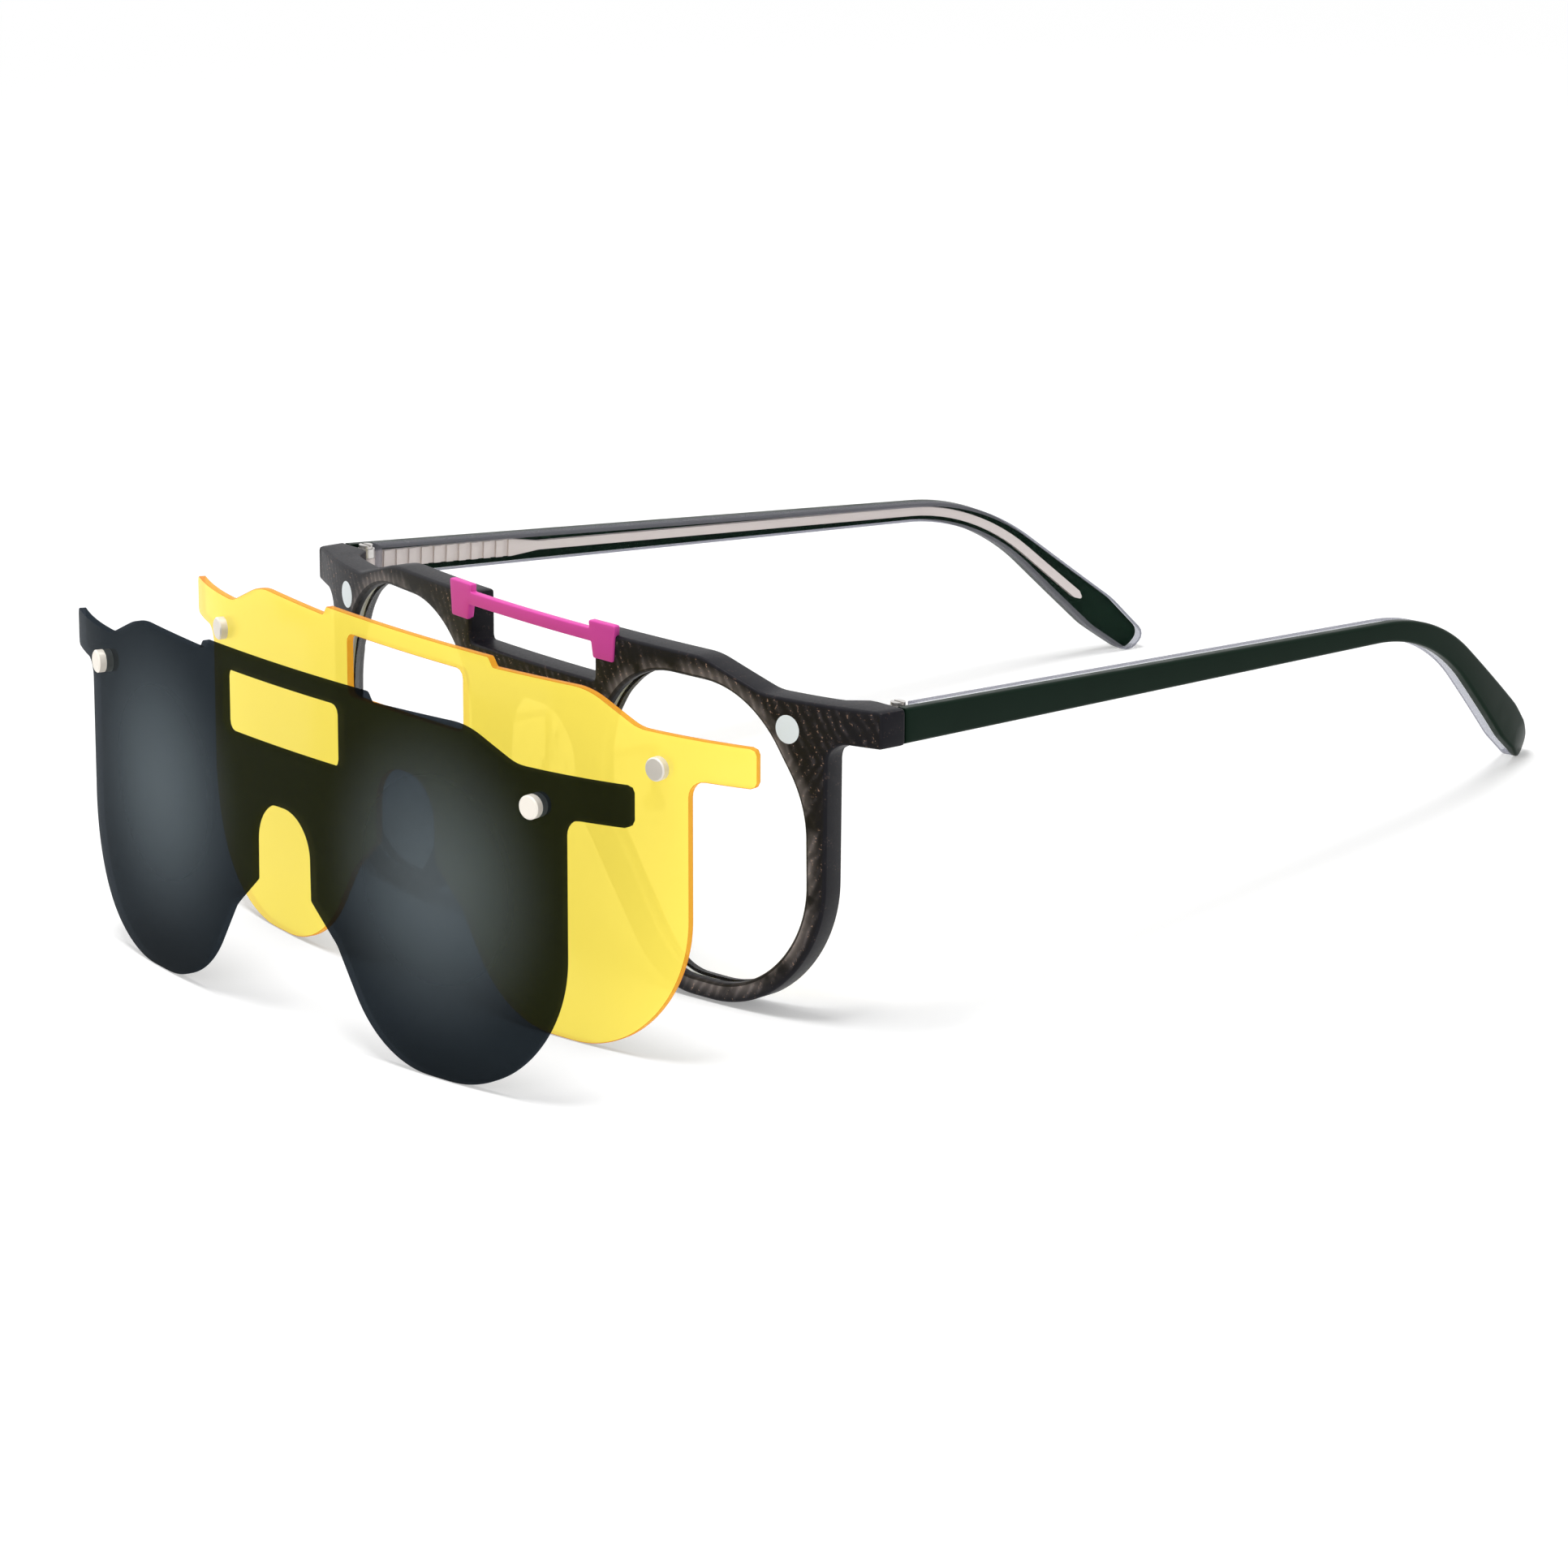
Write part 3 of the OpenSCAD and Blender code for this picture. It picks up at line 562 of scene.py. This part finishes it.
front_half = [
    (15.6, 0.4, 0.6),
    (15.6, 8, 0.5),
    (38.5, 8, 14),
    (50.4, END_TOP, 9),
    (HALF_WIDTH, END_TOP, 0.7),
    (HALF_WIDTH, -END_LOW, 0.7),
    (61.6, -END_LOW, 3),
    (61.2, -43.2, 21),
    (29, -43.2, 15),
    (11.2, -19.5, 6),
    (10, -5.5, 8.6),
]
opening = [
    (58.3, -40.3, 17.5),
    (58, -10.5, 18),
    (48, 4.6, 17),
    (15.6, 4.6, 17),
    (15.6, -18, 11),
    (31.6, -40.3, 10),
]
front_outline = front_half[::-1] + mirrored(front_half)[::-1]
front_mesh = plate(
    "acetate_front",
    [front_outline, opening[::-1], mirrored(opening)[::-1]],
    on_frame,
    0,
    FRONT_T,
    FRONT_EDGE_R,
    FRONT_EDGE_R,
    columns=RAMP_COLUMNS,
    groove=(LENS_Y, LENS_T, LENS_GROOVE),
)
piece(
    front_mesh,
    [acetate("acetate_face", 1.0), acetate("acetate_edge", 0.15)],
    "frame",
    "acetate_speckled",
    "frame_front",
)


# The brow bar: pink coated metal that closes the notch, cut from one strip with an end plate at
# each side. The plates are let into the acetate and stand a third of a millimetre proud of it.
BAR_PROUD = 0.35
BAR_T = 1.2
BAR_EDGE_R = 0.22


def painted_metal(name, colour, rough_low, rough_high):
    """Metal under a flat layer of colour, with a fine blasted grain in its shine."""
    made, nodes = material(name)
    grain = nodes.noise(nodes.place(), Scale=3500.0, Detail=2.0)
    linked = {
        "Roughness": nodes.ranged(grain, To_Min=rough_low, To_Max=rough_high),
        "Normal": nodes.bump(grain, 0.08, 0.00005),
    }
    shader = nodes.surface(linked, Base_Color=colour, Metallic=0.15, Specular_IOR_Level=0.25)
    nodes.show(shader)
    return made


bar_half = [
    (15.2, 6.3, 0.2),
    (15.65, 3.9, 0.35),
    (20.1, 3.9, 0.35),
    (20.6, 9.5, 0.35),
    (14.6, 9.5, 0.35),
    (14.83, 8.3, 0.2),
]
bar_mesh = plate(
    "pink_brow_bar",
    [bar_half + mirrored(bar_half)],
    on_front,
    -BAR_PROUD,
    BAR_T - BAR_PROUD,
    BAR_EDGE_R,
    BAR_EDGE_R,
    grid=1.2,
)
pink = painted_metal("pink_anodised", (0.78, 0.075, 0.43, 1), 0.38, 0.52)
piece(bar_mesh, [pink, pink], "frame", "bar_pink", "brow_bar")


# The lenses: clear plastic, 2 mm thick, cut to the opening and sprung into its groove. Their flat
# polished edge shows as a pale line inside the rim.
LENS_GAP = 0.08
LENS_EDGE_R = 0.2


def clear_plastic(name, colour, lamp_colour, ior=1.5, rough=0.02, clear=1.0):
    """Clear or tinted plastic: glass-like, with handling haze in its roughness, and it lets the
    lamps' light through with the colour that the real sheet would give it."""
    made, nodes = material(name)
    haze = nodes.noise(nodes.place(), Scale=90.0, Detail=3.0)
    spread = nodes.ranged(haze, From_Min=0.35, From_Max=0.75, To_Min=rough, To_Max=rough * 1.8)
    shader = nodes.surface(
        {"Roughness": spread}, Base_Color=colour, IOR=ior, Transmission_Weight=clear
    )
    through = nodes.add("ShaderNodeBsdfTransparent", Color=lamp_colour)
    rays = nodes.add("ShaderNodeLightPath").outputs
    nodes.show(nodes.mixed(rays["Is Shadow Ray"], shader, through))
    return made


lens_clear = clear_plastic("lens_clear", (1.0, 1.0, 1.0, 1), (0.98, 0.98, 0.98, 1), ior=1.2)
lens_edge = clear_plastic(
    "lens_edge", (0.86, 0.9, 0.92, 1), (0.9, 0.92, 0.93, 1), rough=0.25, clear=0.5
)
for side, corners in (("left", opening), ("right", mirrored(opening))):
    lens_mesh = plate(
        "clear_lens_" + side,
        [grown(corners, LENS_GROOVE - LENS_GAP)],
        on_front,
        LENS_Y,
        LENS_Y + LENS_T,
        LENS_EDGE_R,
        LENS_EDGE_R,
        grid=3.0,
    )
    piece(lens_mesh, [lens_clear, lens_edge], "frame", "lens_clear", "lens_" + side)


# The two clips: shields cut from one flat sheet and heat-curved to the front, each with a raised
# middle step, a window that shows the brow bar, and a nose arch. The yellow one has orange cut
# edges and a painted glow. The dark one is smoke grey, with a faint blue-grey painted reflection,
# a sheen painted into its colour round the middle of each lobe.
CLIP_T = 1.1
CLIP_EDGE_R = 0.12
YELLOW_AHEAD = 23.1
DARK_AHEAD = 45.2
# Painted reflection: a blue-grey sheen painted into the dark sheet's colour, strongest at the
# middle of each lobe and fading out over a radius.
PAINTED_REFLECTION_COLOUR = (0.41, 0.48, 0.52, 1)
LOBE_X = 35.0
LOBE_Z = 29.0
PAINTED_REFLECTION_R = 26.0
SPILL = (0.62, 0.61, 0.58, 1)
BACK_LIT = 0.4

clip_half = [
    (20.5, 10.3, 0.6),
    (21.5, 8.9, 0.5),
    (41.5, 9.3, 14),
    (51.2, 5.2, 8),
    (70.3, 4.9, 1),
    (70.3, -1, 1),
    (60, -1, 2.6),
    (60, -43.53, 22),
    (23.5, -43.53, 19),
    (13.6, -28.6, 4.5),
    (7.4, -23.3, 0.5),
    (7.2, -10.8, 6.5),
]
clip_outline = clip_half[::-1] + mirrored(clip_half)[::-1]
window = [(14.6, -2.1, 1.4), (-14.6, -2.1, 1.4), (-14.6, 7.3, 1.4), (14.6, 7.3, 1.4)]


def clip_carry(ahead):
    """The way to place a clip: on the front's curve and leaning like it, moved level towards the
    viewer by a distance."""

    def carry(flat, depth):
        return on_front(flat, depth) - np.array([0, ahead, 0]) * MM

    return carry


def tinted_sheet(name, colour, clear, behind, glow, shine, painted_reflection=0.0):
    """A tinted sheet: partly its own colour, lit from both sides, with a share that shows what
    lies behind it through its tint, and a painted glow: the sheet gives off light of its own
    colour, though it is no lamp. A painted reflection, a blue-grey sheen painted into the colour,
    fades out round the middle of each lobe. Light that the sheet passes on to the floor keeps
    little of its colour."""
    made, nodes = material(name)
    place = nodes.place()
    haze = nodes.noise(place, Scale=70.0, Detail=3.0)
    axes = nodes.axes(place)
    spot = nodes.add("ShaderNodeCombineXYZ")
    nodes.link(nodes.maths("ABSOLUTE", axes["X"]), spot.inputs["X"])
    nodes.link(axes["Z"], spot.inputs["Z"])
    reach = nodes.add("ShaderNodeVectorMath", operation="DISTANCE")
    nodes.link(spot.outputs[0], reach.inputs[0])
    reach.inputs[1].default_value = (LOBE_X * MM, 0, LOBE_Z * MM)
    # Mask of the painted reflection: full at each lobe's middle, none a radius away.
    painted_reflection_mask = nodes.eased(reach.outputs["Value"], From_Min=PAINTED_REFLECTION_R * MM, From_Max=0, To_Max=painted_reflection)
    tone = nodes.add("ShaderNodeMix", data_type="RGBA")
    tone.inputs["A"].default_value = colour
    tone.inputs["B"].default_value = PAINTED_REFLECTION_COLOUR
    nodes.link(painted_reflection_mask, tone.inputs["Factor"])
    linked = {
        "Base Color": tone.outputs["Result"],
        "Emission Color": tone.outputs["Result"],
        "Roughness": nodes.ranged(haze, To_Min=0.10, To_Max=0.24),
    }
    # The emission, in the sheet's own colour, is painted light: the sheet glows though it is no
    # lamp.
    body = nodes.surface(linked, Specular_IOR_Level=shine, Emission_Strength=glow)
    back_lit = nodes.add("ShaderNodeBsdfTranslucent")
    nodes.link(tone.outputs["Result"], back_lit.inputs["Color"])
    through = nodes.add("ShaderNodeBsdfTransparent", Color=behind)
    sheet = nodes.mixed(clear, nodes.mixed(BACK_LIT, body, back_lit), through)
    spill = nodes.add("ShaderNodeBsdfTransparent", Color=SPILL)
    rays = nodes.add("ShaderNodeLightPath").outputs
    nodes.show(nodes.mixed(rays["Is Diffuse Ray"], sheet, spill))
    return made


# The yellow sheet's glow is painted light that lifts it towards white. Its orange cut edges have a
# weaker painted glow.
yellow_face = tinted_sheet(
    "yellow_sheet",
    colour=(1.0, 0.83, 0.125, 1),
    clear=0.28,
    behind=(1.0, 0.92, 0.5, 1),
    glow=0.66,
    shine=0.2,
)
yellow_edge = tinted_sheet(
    "yellow_cut_edge",
    colour=(0.95, 0.32, 0.03, 1),
    clear=0.4,
    behind=(1, 0.75, 0.25, 1),
    glow=0.2,
    shine=0.1,
)
# The smoke sheet carries the painted reflection round the middle of each lobe.
dark_face = tinted_sheet(
    "smoke_sheet",
    colour=(0.006, 0.007, 0.007, 1),
    clear=0.75,
    behind=(0.15, 0.178, 0.20, 1),
    glow=0.0,
    shine=0.1,
    painted_reflection=1.0,
)
dark_edge = tinted_sheet(
    "smoke_cut_edge",
    colour=(0.008, 0.009, 0.010, 1),
    clear=0.6,
    behind=(0.3, 0.33, 0.37, 1),
    glow=0.0,
    shine=0.0,
)
for colour, ahead, finishes in (
    ("yellow", YELLOW_AHEAD, [yellow_face, yellow_edge]),
    ("dark", DARK_AHEAD, [dark_face, dark_edge]),
):
    clip_mesh = plate(
        colour + "_shield",
        [clip_outline, window],
        clip_carry(ahead),
        0,
        CLIP_T,
        CLIP_EDGE_R,
        CLIP_EDGE_R,
    )
    piece(clip_mesh, finishes, colour + "_clip", "clip_" + colour, colour + "_clip_sheet")


# The temples: two layers of acetate laminated over a metal core. The outer layer is polished dark
# green and the lining is clear, so the core shows through it. Both are cut to one outline, heated
# and bent down behind the ear and inwards at the tip.
STRAIGHT_L = 104.0
BEND_R = 36.0
BEND = math.radians(39)
TIP_L = 27.0
TEMPLE_H = 5.2
NECK_H = 2.8
TIP_H = 6.4
SPLAY = math.radians(6.4)
DROP = math.radians(7.088)
INWARD_R = 190.0
OUTER_W = (1.9, 3.6)
LINING_W = (-0.44, 1.86)
TEMPLE_EDGE_R = 0.55
BEVEL_L = 4.5
BEVEL_CUT = 1.2
BUTT_GAP = 0.2
LINING_START = 2.1
OUTER_START = -2
SHEAR_L = 4
SHOULDER_L = 9
SHOULDER_R = 14

bend_place = STRAIGHT_L + BEND_R * math.tan(BEND / 2)
tip_reach = BEND_R * math.tan(BEND / 2) + TIP_L


def on_tip(along, across, radius):
    """A corner on the tip, by its distance past the bend and its distance from the tip's line."""
    return (
        bend_place + math.cos(BEND) * along + math.sin(BEND) * across,
        math.cos(BEND) * across - math.sin(BEND) * along,
        radius,
    )


def temple_outline(start):
    """The temple's side outline from a start behind the hinge, drawn anticlockwise: it narrows
    to the neck at the ear bend and widens again towards the tip."""
    return [
        (start, TEMPLE_H / 2, 0),
        (start, -TEMPLE_H / 2, 0),
        (bend_place - 0.5, -NECK_H / 2, BEND_R - NECK_H / 2),
        on_tip(tip_reach - SHOULDER_L, -TIP_H / 2, SHOULDER_R),
        on_tip(tip_reach, 0.8 - TIP_H / 2, 2.2),
        on_tip(tip_reach, TIP_H / 2 - 1, 2),
        on_tip(tip_reach - SHOULDER_L, TIP_H / 2, SHOULDER_R),
        (bend_place + 0.5, NECK_H / 2, BEND_R + NECK_H / 2),
    ]


def along_temple(sideways, along, up, side):
    """Carries places on a temple's own line to the set: the line starts at the hinge pin, drops
    and closes in towards the tip, and past the straight part it curves inwards on a wide arc."""
    past = np.maximum(along - STRAIGHT_L, 0)
    radius = INWARD_R - OUTER_W[1] + sideways
    x = OUTER_W[1] - INWARD_R + np.sqrt(radius**2 - past**2)
    back = along * math.cos(DROP) + up * math.sin(DROP)
    height = up * math.cos(DROP) - along * math.sin(DROP)
    out = x * math.cos(SPLAY) - back * math.sin(SPLAY)
    back = x * math.sin(SPLAY) + back * math.cos(SPLAY)
    places = np.stack([out, back, height], axis=-1) + hinge_place
    return places * np.array([side, 1, 1]) * MM


def butt_place(sideways, up):
    """How far along the temple's line its end meets the front's flat face, from the face's lean."""
    rate = math.cos(DROP) * math.cos(SPLAY) * math.cos(LEAN) + math.sin(DROP) * math.sin(LEAN)
    slope = math.sin(DROP) * math.cos(SPLAY) * math.cos(LEAN) - math.cos(DROP) * math.sin(LEAN)
    reach = BUTT_Y + BUTT_GAP - HINGE_Y - sideways * math.sin(SPLAY) * math.cos(LEAN)
    return (reach - up * slope) / rate


def temple_carry(side, low_w, high_w, start, outer):
    """The way to place a layer of a temple, whose near face is the outer one. The outer layer's
    end is sheared to lie flat against the front, and its face slopes down over the last bit of
    the tip."""

    def carry(flat, depth):
        along, up = flat[:, 0], flat[:, 1]
        cut = np.zeros(len(along))
        if outer:
            reach = (along - bend_place) * math.cos(BEND) - up * math.sin(BEND)
            cut = np.clip((reach - tip_reach) / BEVEL_L + 1, 0, 1) * BEVEL_CUT
        sideways = high_w - cut - depth * (1 - cut / (high_w - low_w))
        if outer:
            fade = np.clip((along - start) / SHEAR_L, 0, 1)
            along = along + (butt_place(sideways, up) - start) * (1 - fade)
        return along_temple(sideways, along, up, side)

    return carry


def polished_acetate(name, colour, cloud_colour, rough):
    """Polished dark acetate: slow clouds of a second shade, a soft shine and a faint waviness."""
    made, nodes = material(name)
    place = nodes.place()
    cloud = nodes.noise(place, Scale=110.0, Detail=5.0, Roughness=0.6)
    shade = nodes.add("ShaderNodeMix", data_type="RGBA")
    shade.inputs["A"].default_value = colour
    shade.inputs["B"].default_value = cloud_colour
    nodes.link(cloud, shade.inputs["Factor"])
    wave = nodes.noise(place, Scale=260.0, Detail=1.0)
    linked = {
        "Base Color": shade.outputs["Result"],
        "Roughness": nodes.ranged(cloud, To_Min=rough * 0.7, To_Max=rough * 1.4),
        "Normal": nodes.bump(wave, 0.04, 0.0002),
    }
    nodes.show(nodes.surface(linked, Specular_IOR_Level=0.05))
    return made


green = polished_acetate(
    "green_acetate", (0.0040, 0.0135, 0.0075, 1), (0.0060, 0.0180, 0.0105, 1), 0.30
)
lining = clear_plastic(
    "lining_clear", (0.94, 0.96, 0.97, 1), (0.85, 0.87, 0.88, 1), ior=1.05, rough=0.01
)
lining_edge = tinted_sheet(
    "lining_cut_edge",
    colour=(0.30, 0.30, 0.34, 1),
    clear=0.5,
    behind=(0.72, 0.73, 0.79, 1),
    glow=0.0,
    shine=0.1,
)
for side, way in (("left", 1), ("right", -1)):
    body = side + "_temple"
    outer_mesh = plate(
        "temple_green_" + side,
        [temple_outline(OUTER_START)],
        temple_carry(way, *OUTER_W, OUTER_START, True),
        0,
        OUTER_W[1] - OUTER_W[0],
        TEMPLE_EDGE_R,
        0,
        grid=2.5,
    )
    piece(outer_mesh, [green, green], body, "acetate_green", "temple_outer_" + side)
    lining_mesh = plate(
        "temple_clear_" + side,
        [temple_outline(LINING_START)],
        temple_carry(way, *LINING_W, LINING_START, False),
        0,
        LINING_W[1] - LINING_W[0],
        0,
        TEMPLE_EDGE_R,
        grid=2.5,
    )
    piece(lining_mesh, [lining, lining_edge], body, "acetate_clear", "temple_lining_" + side)


# The metal parts that keep their made form: the magnets, the hinge leaves and screws, the pads'
# arms and screws, and the temples' ribbed cores. All are nickel-plated, some brighter than others.
def plated(name, colour, rough, metallic=1.0):
    """Nickel plate: bare or matte metal whose shine varies in fine drawn lines and soft patches."""
    made, nodes = material(name)
    drawn = nodes.add("ShaderNodeMapping", Scale=(3000, 300, 3000))
    nodes.link(nodes.place(), drawn.inputs["Vector"])
    lines = nodes.noise(drawn.outputs[0], Scale=1.0, Detail=3.0)
    spread = nodes.ranged(lines, To_Min=rough * 0.6, To_Max=rough * 1.5)
    nodes.show(nodes.surface({"Roughness": spread}, Base_Color=colour, Metallic=metallic))
    return made


bright = plated("nickel_bright", (0.92, 0.86, 0.77, 1), 0.40, 0.25)
satin = plated("nickel_satin", (0.62, 0.60, 0.58, 1), 0.34)
blasted = plated("magnet_blasted", (0.90, 0.97, 1.00, 1), 0.60, 0.05)
core = plated("core_matte", (0.66, 0.59, 0.57, 1), 0.50, 0.40)
PLATED = {
    "frame_magnet": blasted,
    "yellow_clip_magnet": bright,
    "dark_clip_magnet": bright,
    "hinge_leaf": satin,
    "hinge_screw": satin,
    "pad_arm": satin,
    "pad_screw": satin,
    "temple_core": core,
}
for kind, finish in PLATED.items():
    for side in ("left", "right"):
        for slot in frame["nodes"][kind + "_" + side].material_slots:
            slot.material = finish


# The nose pads: clear soft plastic, a stadium outline with a domed face towards the nose and a
# flat back, moulded round a thin plate whose lug turns in the box on the arm's end.
PAD_PLACE = np.array([11.0, 15.0, -20.5])
PAD_TURN = math.radians(28)
PAD_T = 2.4
PAD_W = 7.4
PAD_H = 13.0
PAD_DOME_R = 12.0
PAD_EDGE_R = 0.25
PAD_DOME_REACH = 45
PAD_AROUND = 73
PAD_SHARP = 60


def pad_rows():
    """Rows of the pad as (distance from the stadium's spine, share of the way from the domed face
    to the back, step in from either): out over the face, round its edge, and back in."""
    reach = PAD_W / 2 - PAD_EDGE_R
    turns = np.linspace(0, math.pi / 2, 6)
    rows = [(reach * share, 0, 0) for share in np.linspace(0, 1, 12)]
    rows += [(reach + PAD_EDGE_R * math.sin(t), 0, PAD_EDGE_R * (1 - math.cos(t))) for t in turns]
    rows += [(reach + PAD_EDGE_R * math.cos(t), 1, PAD_EDGE_R * (1 - math.sin(t))) for t in turns]
    return rows + [(reach * share, 1, 0) for share in np.linspace(1, 0, 6)]


def pad_surface(way):
    """The pad's places: each row is the stadium grown from its upright spine, the face lies on a
    sphere and the back on a plane, then the pad is turned, leaned and mirrored."""
    around = np.linspace(0, 2 * np.pi, PAD_AROUND)
    spine = np.sign(np.sin(around)) * (PAD_H - PAD_W) / 2
    grid = []
    for far, back, step in pad_rows():
        wide = far * np.cos(around)
        tall = far * np.sin(around) + spine
        apart = np.minimum(wide**2 + tall**2, PAD_DOME_REACH)
        dome = PAD_DOME_R - np.sqrt(PAD_DOME_R**2 - apart) - PAD_T / 2
        thick = dome + step if back == 0 else np.maximum(PAD_T / 2 - step, dome)
        out = thick * math.cos(PAD_TURN) + wide * math.sin(PAD_TURN)
        behind = wide * math.cos(PAD_TURN) - thick * math.sin(PAD_TURN)
        grid.append(np.stack([out, behind, tall], axis=-1) + PAD_PLACE)
    return stand(np.array(grid)) * np.array([way, 1, 1])


pad_clear = clear_plastic(
    "pad_clear", (0.95, 0.97, 0.98, 1), (0.9, 0.92, 0.93, 1), ior=1.35, rough=0.08
)
for side, way in (("left", 1), ("right", -1)):
    places = pad_surface(way)
    rows, columns = places.shape[:2]
    index = np.arange(rows * columns).reshape(rows, columns)
    near, far = index[:-1], index[1:]
    quads = np.stack([near[:, :-1], near[:, 1:], far[:, 1:], far[:, :-1]], -1).reshape(-1, 4)
    pad_mesh = bpy.data.meshes.new("clear_pad_" + side)
    pad_mesh.from_pydata(places.reshape(-1, 3).tolist(), [], quads.tolist())
    closed_smooth(pad_mesh, PAD_SHARP)
    piece(pad_mesh, [pad_clear], side + "_pad", "pad_clear", "nose_pad_" + side)
